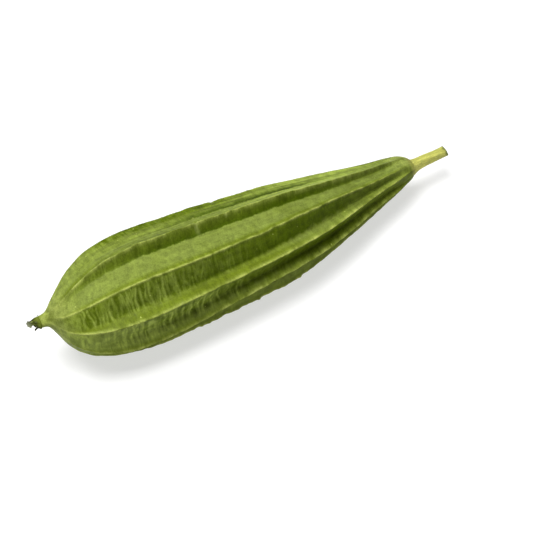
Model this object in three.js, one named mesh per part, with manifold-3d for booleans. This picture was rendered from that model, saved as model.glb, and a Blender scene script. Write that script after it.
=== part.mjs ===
// A whole ridge gourd (Luffa acutangula), picked with a short length of stem and laid on its side.
// Three grown pieces: the fruit, the stem, and the withered flower left on the blossom end.
// Millimetres, +Z up. The gourd lies along X with its blossom end at -X and rests on two of its ridges.

import * as THREE from 'three';
import { mergeVertices } from 'three/addons/utils/BufferGeometryUtils.js';
import Module from 'manifold-3d';

// ---- Driving dimensions -------------------------------------------------------------------------

const FRUIT_LENGTH = 262.5; // nipple to stem seat
const STEM_LENGTH = 28.5;
const FLOWER_LENGTH = 6.5;
const JOIN_GAP = 0.3; // clearance between pieces that grow from each other
const VALLEY_DEPTH = 0.175; // depth of a valley as a share of the crest radius
const VALLEY_DEPTH_STEM = 0.22; // the same, toward the stem
const VALLEY_POWER = 1.75; // 1 is a straight-sided valley, 2 is a round scallop
const TWIST = 5; // turn of the ridges from end to end, degrees
const REST_PITCH = 3.5; // the slimmer stem end lies lower by this angle, degrees
const REST_PRESS = 0.4; // how far the two lowest crests are flattened where the fruit lies

// The fruit from blossom end to stem: station along it, radius over the crests, bow to the side
// away from +Y, and lift of the centre line.
const FRUIT_ROWS = [
  [0, 3.6, 0, 2.0],
  [4, 4.6, 0.5, 2.0],
  [6.8, 8.4, 2.6, 1.8],
  [10.5, 14.6, 5.3, 1.4],
  [16.3, 20.6, 6.0, 0.8],
  [25.1, 26.9, 5.4, 0.2],
  [41, 33.3, 4.4, 0],
  [63, 35.8, 4.3, 0],
  [95, 34.7, 5.4, 0],
  [130, 32.5, 6.7, 0],
  [165, 29.3, 6.8, 0],
  [199, 22.6, 5.1, 0],
  [229, 15.7, 2.7, 0],
  [247.5, 12, 0.9, 0.2],
  [255.5, 10, 0.1, 0.4],
  [260, 8.1, 0, 0.2],
  [FRUIT_LENGTH, 6.4, 0, 0],
];

// The ten ridges, by the angle of the crest about the axis at mid length (0 faces -Y, 90 faces up),
// the sway of each along the fruit as an amplitude and a phase, and how far it bends on its way into
// the shoulder, all in degrees. Then the valley up to the next ridge: its depth as a share of the
// usual one, and where its crease lies between the two.
const RIDGE_ROWS = [
  [-145, 1.5, 40, 0, 1, 0.5],
  [-108, 1, 200, 0, 1, 0.5],
  [-73, 2, -120, 0, 1, 0.5],
  [-41, 5, -130, 0, 1, 0.5],
  [-6.5, 9, -130, 6, 1, 0.32],
  [27, 2.4, -145, 6, 1, 0.27],
  [62, 2.3, 153, -5, 1, 0.78],
  [97, 1, -75, 0, 0.5, 0.42],
  [136, 1.5, 120, 0, 1, 0.38],
  [175, 1.5, -20, 0, 1, 0.55],
];

// The stem from its seat outward: station, radius, bow, lift.
const STEM_ROWS = [
  [0, 5.9, 0.5, -0.3],
  [2.4, 5.05, 0.4, -0.2],
  [5.5, 4.4, 0.2, 0],
  [11, 4.0, 0, 0.3],
  [19, 3.75, 0, 0.7],
  [STEM_LENGTH, 3.6, 0, 1.3],
];
const STEM_RIBS = 5;
const STEM_RIB_DEPTH = 0.07;
const STEM_CUT_SLANT = 20; // degrees off square, the lower edge standing further out

// The withered flower from the nipple outward: station, radius, bow, lift.
const FLOWER_ROWS = [
  [0, 3.3, 0, 2.0],
  [1.7, 3.4, 0, 1.8],
  [3.3, 2.9, 0.3, 1.9],
  [5.2, 2.7, 0.2, 2.5],
  [FLOWER_LENGTH, 1.7, 0, 2.9],
];
const FLOWER_LOBES = 5;
const FLOWER_LOBE_DEPTH = 0.3;

const FRUIT_RINGS = 56;
const STEM_RINGS = 12;
const FLOWER_RINGS = 8;
const SEGMENTS_PER_RIDGE = 6;
const SMALL_SEGMENTS = 20;

// ---- Shared shaping -----------------------------------------------------------------------------

const wasm = await Module();
wasm.setup();

const radians = THREE.MathUtils.degToRad;

// A smooth curve through two columns of a table of rows.
function rowCurve(rows, first, second) {
  return new THREE.SplineCurve(rows.map((row) => new THREE.Vector2(row[first], row[second])));
}

// Turns a profile of radius against station about X, then moves each point: radiusAt scales the
// radius around the axis, angleAt gives the point's angle, and the centre line follows the bow and lift.
function grow(rows, rings, segments, radiusAt, angleAt) {
  const profile = rowCurve(rows, 1, 0);
  const centre = rowCurve(rows, 2, 3);
  const points = profile.getPoints(rings);
  const closed = [new THREE.Vector2(0, points[0].y), ...points, new THREE.Vector2(0, points[rings].y)];
  const geometry = new THREE.LatheGeometry(closed, segments);
  const position = geometry.attributes.position;
  for (let i = 0; i < position.count; i += 1) {
    const ring = THREE.MathUtils.clamp((i % closed.length) - 1, 0, rings);
    const slice = Math.floor(i / closed.length);
    const turn = ((segments - slice) % segments) / segments;
    const station = position.getY(i);
    const onAxis = closed[i % closed.length].x === 0;
    const radius = onAxis ? 0 : closed[i % closed.length].x * radiusAt(turn, station);
    const angle = radians(angleAt(turn, station));
    const { x: bow, y: lift } = centre.getPoint(ring / rings);
    position.setXYZ(i, station, -bow - radius * Math.cos(angle), lift + radius * Math.sin(angle));
  }
  return geometry;
}

// One closed body: shared vertices merged, and the empty triangles at the poles dropped.
function weld(geometry) {
  geometry.deleteAttribute('normal');
  geometry.deleteAttribute('uv');
  const merged = mergeVertices(geometry, 1e-4);
  const corners = merged.index.array;
  const kept = [];
  for (let i = 0; i < corners.length; i += 3) {
    const [a, b, c] = [corners[i], corners[i + 1], corners[i + 2]];
    if (a !== b && b !== c && c !== a) kept.push(a, b, c);
  }
  merged.setIndex(kept);
  return merged;
}

function toSolid(geometry) {
  const vertProperties = new Float32Array(geometry.attributes.position.array);
  const triVerts = new Uint32Array(geometry.index.array);
  return new wasm.Manifold(new wasm.Mesh({ numProp: 3, vertProperties, triVerts }));
}

function toGeometry(solid) {
  const mesh = solid.getMesh();
  const geometry = new THREE.BufferGeometry();
  geometry.setAttribute('position', new THREE.BufferAttribute(mesh.vertProperties, mesh.numProp));
  geometry.setIndex(new THREE.BufferAttribute(mesh.triVerts, 1));
  return geometry;
}

function piece(name, geometry, colour, roughness) {
  geometry.computeVertexNormals();
  const material = new THREE.MeshStandardMaterial({ color: colour, roughness, metalness: 0 });
  const mesh = new THREE.Mesh(geometry, material);
  mesh.name = name;
  return mesh;
}

// ---- Fruit --------------------------------------------------------------------------------------

// The valleys start beyond the nipple, are full a sixth of the way along, and die out into a
// smooth shoulder before the stem.
function valleyDepth(station) {
  const towardStem = THREE.MathUtils.smoothstep(station, 130, 220);
  const depth = THREE.MathUtils.lerp(VALLEY_DEPTH, VALLEY_DEPTH_STEM, towardStem);
  const rise = THREE.MathUtils.smoothstep(station, 4, 48) ** 0.8;
  const fade = 1 - THREE.MathUtils.smoothstep(station, 236, FRUIT_LENGTH);
  return depth * rise * fade;
}

function crestAngle(ridge, station) {
  const [angle, sway, phase, bend] = RIDGE_ROWS[ridge % RIDGE_ROWS.length];
  const along = station / FRUIT_LENGTH;
  const turns = ridge >= RIDGE_ROWS.length ? 360 : 0;
  const swayed = sway * Math.sin(2 * Math.PI * along + radians(phase));
  const bent = bend * THREE.MathUtils.smoothstep(along, 0.7, 0.92);
  return angle + turns + TWIST * (along - 0.5) + swayed + bent;
}

// The ridge that a turn has passed, and the phase from 0 at it to 1 at the next.
function ridgeAt(turn) {
  const ridge = Math.floor(turn * RIDGE_ROWS.length + 1e-9);
  return [ridge, turn * RIDGE_ROWS.length - ridge];
}

// Half of a valley's points lie on either side of its crease.
function ridgedAngle(turn, station) {
  const [ridge, phase] = ridgeAt(turn);
  const crease = RIDGE_ROWS[ridge % RIDGE_ROWS.length][5];
  const between = phase < 0.5 ? 2 * phase * crease : 1 - 2 * (1 - phase) * (1 - crease);
  const start = crestAngle(ridge, station);
  return start + between * (crestAngle(ridge + 1, station) - start);
}

function ridgedRadius(turn, station) {
  const [ridge, phase] = ridgeAt(turn);
  const share = RIDGE_ROWS[ridge % RIDGE_ROWS.length][4];
  const fromCrest = 1 - Math.abs(2 * phase - 1);
  return 1 - share * valleyDepth(station) * (1 - (1 - fromCrest) ** VALLEY_POWER);
}

function layOnSide(geometry) {
  geometry.rotateY(radians(REST_PITCH));
  return geometry;
}

const fruit = layOnSide(grow(
  FRUIT_ROWS, FRUIT_RINGS, RIDGE_ROWS.length * SEGMENTS_PER_RIDGE, ridgedRadius, ridgedAngle,
));
fruit.computeBoundingBox();
const floorHeight = fruit.boundingBox.min.z + REST_PRESS;

// Where the fruit lies, its lowest crests are pressed flat on the floor plane.
function pressFlat(geometry) {
  const side = 2 * FRUIT_LENGTH;
  const block = new THREE.BoxGeometry(2 * side, side, side);
  block.translate(0, 0, floorHeight - side / 2);
  return toGeometry(toSolid(weld(geometry)).subtract(toSolid(weld(block))));
}

// ---- Stem and withered flower -------------------------------------------------------------------

function ribbed(count, depth) {
  return (turn) => 1 - depth * (0.5 - 0.5 * Math.cos(2 * Math.PI * count * turn));
}

function evenAngle(turn) {
  return 360 * turn;
}

function stemGeometry() {
  const geometry = grow(STEM_ROWS, STEM_RINGS, SMALL_SEGMENTS, ribbed(STEM_RIBS, STEM_RIB_DEPTH), evenAngle);
  const position = geometry.attributes.position;
  const slope = Math.tan(radians(STEM_CUT_SLANT));
  for (let i = 0; i < position.count; i += 1) {
    const along = position.getX(i) / STEM_LENGTH;
    const towardEnd = THREE.MathUtils.smoothstep(along, 0.6, 1);
    const lift = position.getZ(i) - STEM_ROWS[STEM_ROWS.length - 1][3] * along;
    position.setX(i, position.getX(i) - slope * lift * towardEnd);
  }
  geometry.translate(FRUIT_LENGTH + JOIN_GAP, 0, 0);
  return layOnSide(geometry);
}

function flowerGeometry() {
  const lobes = ribbed(FLOWER_LOBES, FLOWER_LOBE_DEPTH);
  const geometry = grow(FLOWER_ROWS, FLOWER_RINGS, SMALL_SEGMENTS, lobes, (turn) => -360 * turn);
  geometry.scale(-1, 1, 1);
  geometry.translate(-JOIN_GAP, 0, 0);
  return layOnSide(geometry);
}

// ---- The gourd ----------------------------------------------------------------------------------

const gourd = new THREE.Group();
gourd.add(piece('fruit', pressFlat(fruit), 0x7d9440, 0.55));
gourd.add(piece('stem', weld(stemGeometry()), 0xb7b858, 0.6));
gourd.add(piece('flower_remnant', weld(flowerGeometry()), 0x3d4512, 0.85));

// The origin is on the floor under the middle of the gourd's outline.
const bounds = new THREE.Box3().setFromObject(gourd);
const middle = bounds.getCenter(new THREE.Vector3());
gourd.position.set(-middle.x, -middle.y, -floorHeight);

export default gourd;
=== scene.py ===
"""Whole ridge gourd lying on a pale floor: ribbed fruit, cut stem and withered flower.

Lengths in the shape tables are millimetres along the fruit; everything put into the scene is metres.
"""

import math
from types import SimpleNamespace

import bpy
import numpy as np
from bpy.props import FloatProperty, FloatVectorProperty, IntProperty, PointerProperty
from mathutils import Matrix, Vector


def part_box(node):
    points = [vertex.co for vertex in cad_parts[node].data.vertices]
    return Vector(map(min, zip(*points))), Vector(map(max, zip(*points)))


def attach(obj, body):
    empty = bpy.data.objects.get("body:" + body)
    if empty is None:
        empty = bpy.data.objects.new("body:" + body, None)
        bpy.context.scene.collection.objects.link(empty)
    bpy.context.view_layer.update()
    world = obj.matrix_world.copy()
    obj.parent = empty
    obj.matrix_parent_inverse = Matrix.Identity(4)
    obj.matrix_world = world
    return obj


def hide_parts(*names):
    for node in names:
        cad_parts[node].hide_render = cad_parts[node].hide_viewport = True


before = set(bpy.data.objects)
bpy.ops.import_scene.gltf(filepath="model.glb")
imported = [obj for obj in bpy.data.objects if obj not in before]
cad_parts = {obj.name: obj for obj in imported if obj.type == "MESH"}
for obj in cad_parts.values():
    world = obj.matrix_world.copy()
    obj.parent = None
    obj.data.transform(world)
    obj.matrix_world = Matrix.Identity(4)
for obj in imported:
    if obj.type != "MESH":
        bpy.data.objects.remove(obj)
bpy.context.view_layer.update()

bl_info = {
    "name": "Ridge gourd",
    "version": (1, 0, 0),
    "blender": (4, 5, 0),
    "location": "View3D > Sidebar > Ridge gourd",
    "description": "Makes a whole ridge gourd with its stem and withered flower",
    "category": "Add Mesh",
}

MM = 0.001

# ---- The growth of the gourd, shared with the frame ----------------------------------------------

FRUIT_LENGTH = 262.5
STEM_LENGTH = 28.5
JOIN_GAP = 0.3
REST_PITCH = math.radians(3.5)
PLACING_RINGS = 200  # rings of the plain form that the gourd is placed by

# Station along the fruit, radius over the crests, bow to the side away from +Y, lift.
FRUIT_ROWS = [
    (0, 3.6, 0, 2.0),
    (4, 4.6, 0.5, 2.0),
    (6.8, 8.4, 2.6, 1.8),
    (10.5, 14.6, 5.3, 1.4),
    (16.3, 20.6, 6.0, 0.8),
    (25.1, 26.9, 5.4, 0.2),
    (41, 33.3, 4.4, 0),
    (63, 35.8, 4.3, 0),
    (95, 34.7, 5.4, 0),
    (130, 32.5, 6.7, 0),
    (165, 29.3, 6.8, 0),
    (199, 22.6, 5.1, 0),
    (229, 15.7, 2.7, 0),
    (247.5, 12, 0.9, 0.2),
    (255.5, 10, 0.1, 0.4),
    (260, 8.1, 0, 0.2),
    (FRUIT_LENGTH, 6.4, 0, 0),
]

# The valleys: stations between which they set in, deepen and die out.
VALLEYS_RISE = (4, 48)
VALLEYS_DEEPEN = (130, 220)
VALLEYS_FADE = (236, FRUIT_LENGTH)
# Shares of the fruit's length between which the ridges bend into the shoulder.
RIDGES_BEND = (0.7, 0.92)

# Each ridge: angle of the crest about the axis at mid length (0 faces -Y, 90 faces up), amplitude and
# phase of its sway along the fruit, how far it bends on its way into the shoulder, all in degrees, how
# jagged its crest is, in mm, and how pale its crest line is, a line that is partly a painted highlight.
RIDGE_ROWS = [
    (-145, 1.5, 40, 0, 0.5, 1.0),
    (-108, 1, 200, 0, 0.3, 1.0),
    (-73, 2, -120, 0, 0.3, 1.0),
    (-41, 5, -130, 0, 0.95, 1.0),
    (-6.5, 9, -130, 6, 0.4, 1.0),
    (27, 2.4, -145, 6, 0.4, 1.1),
    (62, 2.3, 153, -5, 0.3, 1.1),
    (97, 1, -75, 0, 0.5, 0.75),
    (136, 1.5, 120, 0, 0.5, 0.5),
    (175, 1.5, -20, 0, 0.4, 1.0),
]

# One value for each valley. The first valley lies after the first ridge, and so on.
VALLEYS = {
    # Depth as a share of the usual one.
    "depth": (1, 1, 1, 1, 1, 1, 1, 0.5, 1, 1),
    # Where the crease lies between the lower crest (0) and the upper one (1).
    "crease": (0.50, 0.50, 0.50, 0.50, 0.32, 0.27, 0.78, 0.42, 0.62, 0.45),
    # Share of bloom on the floor, and how much further it spreads toward the stem.
    "bloom": (0.7, 0.6, 0.6, 0.5, 1, 0.42, 1, 1, 0.9, 0.7),
    "spread": (0, 0, 0, 0, 0, 0.9, 0, 0, 0, 0),
    # Share of pale streaks across the valley, and how much of them carries on below the crease.
    "streaks": (0.7, 0.6, 0.6, 0.7, 1.3, 0.93, 0.3, 0.6, 0.6, 0.9),
    "streaks_below": (0.6, 0.6, 0.6, 0.7, 1, 0.1, 0.7, 0.2, 0.4, 0.5),
    # How coarse its wrinkles are.
    "coarse": (1, 1, 1, 1.2, 1.5, 1.1, 1, 1, 1, 1.2),
    # Share of lengthwise streaks.
    "silky": (0.3, 0.3, 0.3, 0.2, 0.3, 0.3, 0.25, 1, 0.6, 0.3),
    # Share of deep green on the upper flank, partly its own green and partly a painted shadow of the
    # crest above (above 1 it goes on toward the crease's painted shade), and the station by which it is
    # full.
    "deep": (0.8, 0.7, 0.8, 2.0, 0.97, 1.1, 0.82, 0.3, 0.9, 0.9),
    "deep_by": (55, 55, 55, 30, 62, 22, 32, 55, 55, 55),
    # More deep green just under the upper crest, as painted shade, fading toward the stem.
    "brow": (0, 0, 0, 0, 0, 0, 0, 1.0, 0, 0),
    # Painted crease shade at the foot of the upper flank.
    "foot": (0.3, 0.3, 0.3, 0.3, 0.2, 0.5, 1, 1, 0.6, 0.4),
    # How far the edge of the floor climbs the upper flank toward the stem, in mm.
    "rise": (0, 0, 0, 0, 0, 2.2, 0, 0, 0, 0),
    # Softness of the edge between floor and flank, and how far below the crease it lies, in mm.
    "softness": (1.5, 1.5, 1.5, 1.5, 2.2, 1.7, 1, 1.9, 1.2, 1.5),
    "edge_drop": (0.5, 0.5, 0.5, 0.5, 3.2, 0.6, 0, -0.2, 0, 0.5),
}
FRONT_ANGLE = math.radians(40)
# Angles about the axis between which the skin comes to face up, and then away again, in radians.
FACING_UP = (0.80, 1.25, 2.9, 3.5)
# The bloom and the ends use it to paint light and shade by the way the skin faces.

# Stations between which each feature of the fruit grows in, or grows in and then dies out, in mm.
STRETCHES = {
    "ridges": (1, 14, 236, 262),
    "stem_end": (150, 235),
    "past_flower_end": (12, 75),
    "lumps": (10, 50, 230, 262),
    "jagged_crests": (68, 90, 150, 180),
    "crest_lines_fade": (192, 232),
    "wrinkles": (6, 16, 225, 250),
    "milder_wrinkles": (25, 60),
    "lower_wrinkles": (130, 190),
    "edge_rises": (95, 185),
    "deep_green_fades": (180, 238),
    "brow": (34, 56, 105, 200),
    "foot": (20, 65),
    "foot_fades": (165, 228),
    "bloom": (3, 12),
    "bloom_spreads": (120, 182),
    "silk": (20, 90),
    # Painted highlight on the top valley, and where it fades.
    "painted_sheen": (100, 190),
    "sheen_fades": (199, 241),
    "fewer_streaks": (50, 95),
    "last_streaks": (90, 150),
    "shoulder": (240, 262),
    "stalk": (257.5, 262.5),
}

# Random layers along each ridge: spacing in mm, strength and seed.
CREST_SWAY = ((9, 1.0, 13), (3.5, 0.6, 14))
CREST_JAGS = ((3.8, 0.75, 11), (1.8, 0.35, 12))
CREST_GAPS = ((3.5, 0.9, 66),)
JAG_BREADTH = 2.2  # breadth of the jags over that of the bead
BLUNTNESS = 0.03  # rounding of the crests, as a share of the way to the crease
CROWDING = 1.5  # 1 spaces the points evenly, more draws them toward the crests

# Wrinkles and streaks lean toward the stem as they climb, but hardly in a streaky valley: mm per mm.
LEAN_SMOOTH = 0.30
LEAN_STREAKY = -0.03
LEAN_CHANGE = 0.5  # share of streaks that makes a valley a streaky one
WRINKLED = (7.0, 250)  # stations of the first wrinkle and of the end of them
WRINKLE_SEED = 50

# The skin's patterns: the coordinates they lie in, scale along each of them, detail and roughness.
SKIN_PATTERNS = {
    "ragged": ("fanned", (0.18, 0.09, 1.0), 4.0, 0.6),
    "fine": ("fanned", (0.60, 0.050, 1.0), 2.5, 0.55),
    "wide": ("fanned", (0.30, 0.050, 1.0), 2.0, 0.5),
    "broken": ("fanned", (0.30, 0.16, 1.0), 3.0, 0.55),
    "long": ("around_axis", (0.016, 0.42, 0.42), 4.0, 0.6),
    "patch": ("place", (0.075, 0.085, 0.085), 2.0, 0.5),
    "mottle": ("place", (0.22, 0.22, 0.22), 4.0, 0.6),
    "grain": ("place", (1.3, 1.3, 1.3), 2.0, 0.5),
}
EDGE_STRAY = 0.62  # how far the edge of a valley's floor strays up and down
FOOT_HEIGHT = 4.6  # height of the dark foot of a flank above that edge
EVEN_RADIUS = 35  # radius of the even cylinder that the lengthwise fibres lie on, in mm
STRIP_GAP = 31.0  # distance between the strips of pattern of neighbouring valleys, in mm

# Old scars on the crests: ridge, station, length, depth, and how far down the flanks they reach.
CREST_SCARS = [
    (7, 102, 2.6, 0.9, 3.2),
    (7, 122, 1.4, 0.4, 1.0),
    (7, 42, 1.2, 0.3, 1.0),
    (8, 123, 2.4, 0.6, 1.4),
    (6, 60, 1.6, 0.4, 1.0),
    (6, 109, 1.0, 0.3, 1.0),
    (5, 74, 1.4, 0.4, 1.0),
    (9, 90, 2.0, 0.6, 1.0),
]

# The stem: station outward from its seat, radius, bow, lift. The foot is sunk in the shoulder.
STEM_ROWS = [
    (-2.5, 5.6, 0.5, -0.3),
    (-0.6, 6.0, 0.5, -0.3),
    (0.6, 5.7, 0.5, -0.3),
    (2.4, 5.05, 0.4, -0.2),
    (5.5, 4.4, 0.2, 0),
    (11, 4.0, 0, 0.3),
    (19, 3.75, 0, 0.7),
    (STEM_LENGTH, 3.6, 0, 1.3),
]
STEM_RIBS = 5
STEM_RIB_DEPTH = 0.08
STEM_TWIST = 0.012  # turn of the ribs, in radians for each mm
STEM_CUT_SLOPE = math.tan(math.radians(20))
STEM_CUT_RINGS = (0.97, 0.93, 0.86, 0.76, 0.64, 0.50, 0.35, 0.18)
STEM_RINGS = 110
STEM_AROUND = 90
STEM_BLOTCH_COLOUR = (0.30, 0.33, 0.085)
STEM_FOOT_COLOUR = (0.27, 0.30, 0.055)
STEM_CUT_COLOUR = (0.24, 0.30, 0.085)
STEM_RIM_COLOUR = (0.060, 0.085, 0.020)

# The withered flower, all about the axis of the nipple. Its crumpled cup: station outward, radius.
CUP_ROWS = [
    (-1.2, 3.0),
    (-0.2, 3.45),
    (0.6, 3.7),
    (1.6, 3.3),
    (2.6, 2.7),
    (3.6, 1.9),
    (4.2, 0.9),
]

CUP_RINGS = 60
CUP_AROUND = 72
NIPPLE_LIFT = 2.0  # height of the nipple's axis above the fruit's, in mm
NIPPLE_SLOPE = 0.20

# Its petals: angle about the axis, where it starts, length, lean at the start and at the tip (degrees
# from the axis), width, twist in degrees, and how green and how bleached it is.
PETAL_ROWS = [
    (135, 0.3, 3.8, -4, 6, 1.9, 10, 0.0, 0.0),
    (100, 0.2, 5.4, -20, -6, 1.9, 15, 1.0, 0.4),
    (140, 0.8, 5.4, -16, 4, 1.8, 30, 0.3, 0.8),
    (56, 0.8, 7.2, -22, 4, 3.6, 5, 0.2, 1.0),
    (200, 0.6, 4.2, -10, 20, 2.4, 30, 0.1, 0.2),
    (318, 0.5, 4.4, -2, 58, 2.6, -20, 0.0, 0.2),
    (250, 0.2, 3.8, 0, -50, 2.6, 30, 0.0, 0.0),
    (345, 0.4, 3.4, -12, -10, 2.6, 20, 0.1, 0.2),
    (60, 0.2, 4.0, -14, -20, 2.6, -20, 0.5, 0.1),
    (143, -1.2, 2.3, 72, 60, 1.3, 0, 0.0, 0.0),
]
PETAL_THICKNESS = 0.34
PETAL_SEAT = 2.4  # distance of a petal's foot from the axis, in mm
PETAL_STEPS = 34
PETAL_AROUND = 16
PETAL_PATTERN_GAP = 4.0  # keeps the petals' patterns apart, in mm
PETAL_OLIVE = (0.055, 0.065, 0.012)
PETAL_GREEN = (0.135, 0.170, 0.016)
PETAL_GREY = (0.17, 0.18, 0.115)

# The soft light: the point it faces, and how far it leans toward the flower.
KEY_AIM = (-0.01, 0, 0.03)
KEY_SIDE = -0.20
BACKDROP_SIDES = 96


# ---- Settings -----------------------------------------------------------------------------------

def colour_setting(name, description, default):
    """A setting that holds a colour."""
    return FloatVectorProperty(
        name=name, description=description, default=default, min=0.0, max=1.0, subtype="COLOR")


def length_setting(name, description, default):
    """A setting that holds a length in metres."""
    return FloatProperty(
        name=name, description=description, default=default, subtype="DISTANCE", unit="LENGTH")


def angle_setting(name, description, default):
    """A setting that holds an angle in radians."""
    return FloatProperty(
        name=name, description=description, default=default, subtype="ANGLE", unit="ROTATION")


class RidgeGourdShape(bpy.types.PropertyGroup):
    """Form of the fruit's ridges and skin relief"""

    valley_depth: FloatProperty(
        name="Valley depth", description="Depth of a valley as a share of the crest radius",
        default=0.175, min=0.0, max=0.5, subtype="FACTOR")
    valley_depth_stem: FloatProperty(
        name="Valley depth by the stem", description="The same share toward the stem",
        default=0.22, min=0.0, max=0.5, subtype="FACTOR")
    valley_power: FloatProperty(
        name="Valley power", description="1 is a straight-sided valley, 2 is a round scallop",
        default=1.75, min=1.0, max=6.0)
    twist: angle_setting("Twist", "Turn of the ridges from end to end", math.radians(5))
    crest_height: length_setting(
        "Crest bead height", "How far the bead on a crest stands proud", 0.5 * MM)
    crest_width: length_setting("Crest bead width", "Half width of the bead on a crest", 0.72 * MM)
    crest_wobble: length_setting("Crest wobble", "How far a crest wanders to the side", 0.5 * MM)
    wrinkle_height: length_setting(
        "Wrinkle height", "Height of the transverse wrinkles on the flanks", 0.24 * MM)
    wrinkle_spacing: length_setting("Wrinkle spacing", "Distance between neighbouring wrinkles", 2.2 * MM)
    lump_height: length_setting(
        "Lump height", "Height of the broad unevenness of the whole fruit", 0.45 * MM)
    rest_press: length_setting(
        "Pressed flat", "How far the lowest crests are flattened by the floor", 0.4 * MM)
    rings: IntProperty(
        name="Rings", description="Rings of points along the fruit", default=490, min=40)
    steps_per_side: IntProperty(
        name="Steps per side", description="Points from a crest to the middle of a valley",
        default=10, min=3)


class RidgeGourdSkin(bpy.types.PropertyGroup):
    """Colours of the skin, the stem and the withered flower"""

    # Part of this grey is a painted soft reflection of the light; the bloom is painted heavier on the top
    # and thinner on the underside by the stem.
    bloom_colour: colour_setting(
        "Valley bloom", "Greyish green of the waxy valley floors", (0.159, 0.202, 0.037))
    streak_colour: colour_setting(
        "Streaks", "Pale grey green of the streaks across the flanks", (0.255, 0.322, 0.054))
    upper_colour: colour_setting(
        "Upper flank", "Yellow green of the flanks that face up", (0.112, 0.150, 0.009))
    # Partly the flank's own deeper green, partly a painted shadow of the crest above it.
    flank_shade_colour: colour_setting(
        "Under flank", "Deep green of the flanks beneath a crest", (0.075, 0.112, 0.001))
    # Painted shade: darkest green in the creases, and beyond the deep green where its share is above 1.
    crease_shade_colour: colour_setting(
        "Crease", "Darkest green, at the foot of the under flank", (0.040, 0.066, 0.001))
    # Partly the pale edge of the ridge, partly a painted highlight.
    crest_colour: colour_setting(
        "Crest line", "Pale yellow green of the crest lines", (0.368, 0.420, 0.098))
    # On the shoulder this yellow lies mostly on the top, as painted light.
    end_colour: colour_setting(
        "Ends", "Yellowish green of the nipple and the shoulder", (0.285, 0.330, 0.075))
    scar_colour: colour_setting("Scars", "Corky pale colour of old scars", (0.28, 0.33, 0.09))
    stem_colour: colour_setting("Stem", "Yellow green of the stem", (0.56, 0.56, 0.125))
    stem_fibre_colour: colour_setting(
        "Stem fibres", "Darker lines between the stem's fibres", (0.36, 0.36, 0.075))
    flower_colour: colour_setting(
        "Withered flower", "Nearly black green of the dry petals", (0.024, 0.030, 0.003))


class RidgeGourdStage(bpy.types.PropertyGroup):
    """Camera, light and floor"""

    camera_azimuth: angle_setting(
        "Camera azimuth", "Angle of the camera round the gourd from the -Y side", math.radians(-31.23))
    camera_elevation: angle_setting(
        "Camera elevation", "Angle of the camera above the floor", math.radians(53))
    camera_distance: length_setting(
        "Camera distance", "Distance from the camera to the point it looks at", 0.7802)
    camera_aim: FloatVectorProperty(
        name="Camera aim", description="The point that the camera looks at",
        default=(-0.0061, -0.0336, 0.035), subtype="TRANSLATION", unit="LENGTH")
    lens: FloatProperty(
        name="Lens", description="Focal length in millimetres", default=85.0, min=1.0)
    key_power: FloatProperty(
        name="Key power", description="Power of the soft light above the gourd",
        default=20.0, min=0.0, unit="POWER")
    key_tilt: angle_setting("Key tilt", "How far the key light leans behind the gourd", math.radians(4))
    key_distance: length_setting("Key distance", "Distance from the gourd to the key light", 1.1)
    key_size: length_setting("Key size", "Side of the square key light", 0.6)
    world_strength: FloatProperty(
        name="World strength", description="Brightness of the plain white surroundings",
        default=0.13, min=0.0)
    floor_colour: colour_setting("Floor", "Colour of the pale floor", (0.42, 0.42, 0.42))
    floor_glow: FloatProperty(
        name="Floor glow", description="Light that the floor gives out itself, as a light table does",
        default=0.61, min=0.0)
    floor_size: length_setting("Floor size", "Distance from the gourd to the edge of the floor", 4.0)
    backdrop_height: length_setting("Backdrop height", "Height of the pale wall round the floor", 3.0)
    backdrop_glow: FloatProperty(
        name="Backdrop glow", description="Brightness of the wall, close to that of the far floor",
        default=0.72, min=0.0)


# ---- Numbers and noise --------------------------------------------------------------------------

def smoothstep(x, low, high):
    """0 below low, 1 above high, and a smooth rise between."""
    t = np.clip((np.asarray(x, float) - low) / (high - low), 0, 1)
    return t * t * (3 - 2 * t)


def window(x, low, full, fading, gone):
    """A smooth rise from low to full and a smooth fall from fading to gone, 0 outside and 1 between."""
    return smoothstep(x, low, full) * (1 - smoothstep(x, fading, gone))


def spline_rows(rows, t):
    """Rows of a table joined by a uniform Catmull-Rom spline, read at t from 0 to 1."""
    points = np.asarray(rows, float)
    last = len(points) - 1
    at = np.clip(t, 0, 1) * last
    i = np.minimum(np.floor(at).astype(int), last - 1)
    w = (at - i)[:, None]
    before, start = points[np.maximum(i - 1, 0)], points[i]
    end, after = points[i + 1], points[np.minimum(i + 2, last)]
    leave, arrive = (end - before) / 2, (after - start) / 2
    cubic = 2 * start - 2 * end + leave + arrive
    square = -3 * start + 3 * end - 2 * leave - arrive
    return cubic * w**3 + square * w**2 + leave * w + start


def even_rows(rows, count):
    """Rows of a table read at evenly spaced places along its outline of radius against station."""
    t = np.linspace(0, 1, 40 * len(rows))
    dense = spline_rows(rows, t)
    step = np.hypot(np.diff(dense[:, 0]), np.diff(dense[:, 1]))
    arc = np.concatenate([[0], np.cumsum(step)])
    return spline_rows(rows, np.interp(np.linspace(0, arc[-1], count), arc, t))


def value_noise(x, y, z, seed):
    """Smooth random field from -1 to 1, with one lattice cell per unit, at broadcast x, y and z."""
    x, y, z = np.broadcast_arrays(x, y, z)
    size = 64
    lattice = np.random.default_rng(seed).uniform(-1, 1, (size, size, size))
    base = [np.floor(c).astype(int) for c in (x, y, z)]
    part = [c - b for c, b in zip((x, y, z), base)]
    part = [p * p * (3 - 2 * p) for p in part]
    total = np.zeros(x.shape)
    for dx in (0, 1):
        for dy in (0, 1):
            for dz in (0, 1):
                corner = lattice[(base[0] + dx) % size, (base[1] + dy) % size, (base[2] + dz) % size]
                weight = 1.0
                for p, d in zip(part, (dx, dy, dz)):
                    weight = weight * (p if d else 1 - p)
                total += corner * weight
    return total


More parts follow.
